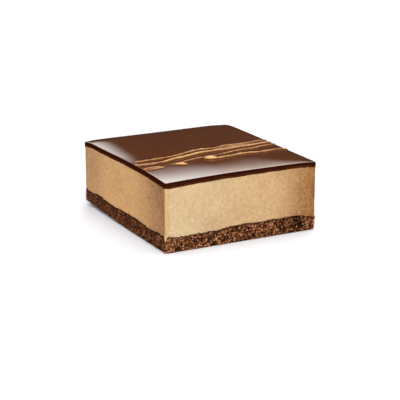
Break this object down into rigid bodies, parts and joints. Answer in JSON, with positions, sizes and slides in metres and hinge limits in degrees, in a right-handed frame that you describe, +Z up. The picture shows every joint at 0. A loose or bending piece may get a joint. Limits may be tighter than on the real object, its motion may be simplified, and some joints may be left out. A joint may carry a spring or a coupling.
{
  "type": "chocolate cream cake",
  "caption": "Cut block of pale coffee-coloured mousse on a thin chocolate sponge, under a smooth dark chocolate glaze.",
  "frame": {"origin": "centre of the footprint, on the underside of the sponge", "axes": "+Z up; the cut front face looks along -Y and the cut left face along -X; the longer side runs along Y"},
  "size_m": [0.0755, 0.0855, 0.0327],
  "materials": {
    "sponge": "matte",
    "mousse": "matte",
    "glaze": "gloss"
  },
  "bodies": {
    "root": {"sponge_base": "sponge", "mousse": "mousse", "glaze": "glaze"}
  },
  "joints": []
}
